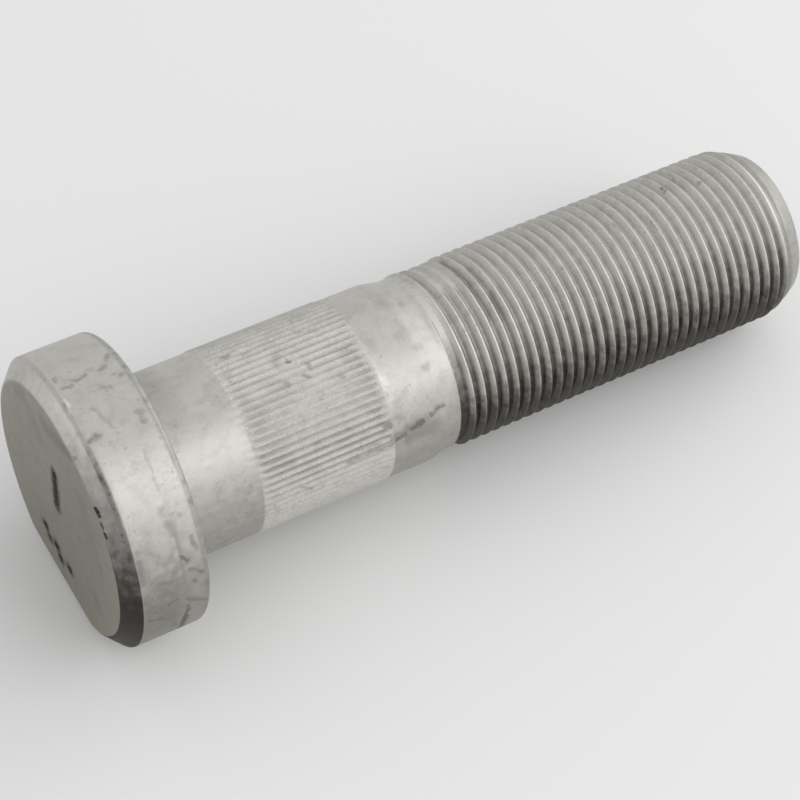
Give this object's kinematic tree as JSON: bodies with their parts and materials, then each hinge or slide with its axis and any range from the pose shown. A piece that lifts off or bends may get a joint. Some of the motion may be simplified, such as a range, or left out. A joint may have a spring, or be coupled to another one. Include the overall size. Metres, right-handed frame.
{
  "type": "wheel stud",
  "caption": "Truck wheel stud with a flat-sided round head, a knurled press section, a plain pilot and a fine metric thread.",
  "frame": {"origin": "centre of the head's outer face", "axes": "+X along the stud's axis from the head to the threaded end, +Z away from the head's flat side, which faces down"},
  "size_m": [0.096, 0.0352, 0.0332],
  "materials": {
    "coated_steel": "zinc flake coated steel, satin, slightly warm light grey, with dark residue in the thread's roots"
  },
  "bodies": {
    "root": {"stud": "coated_steel"}
  },
  "joints": []
}
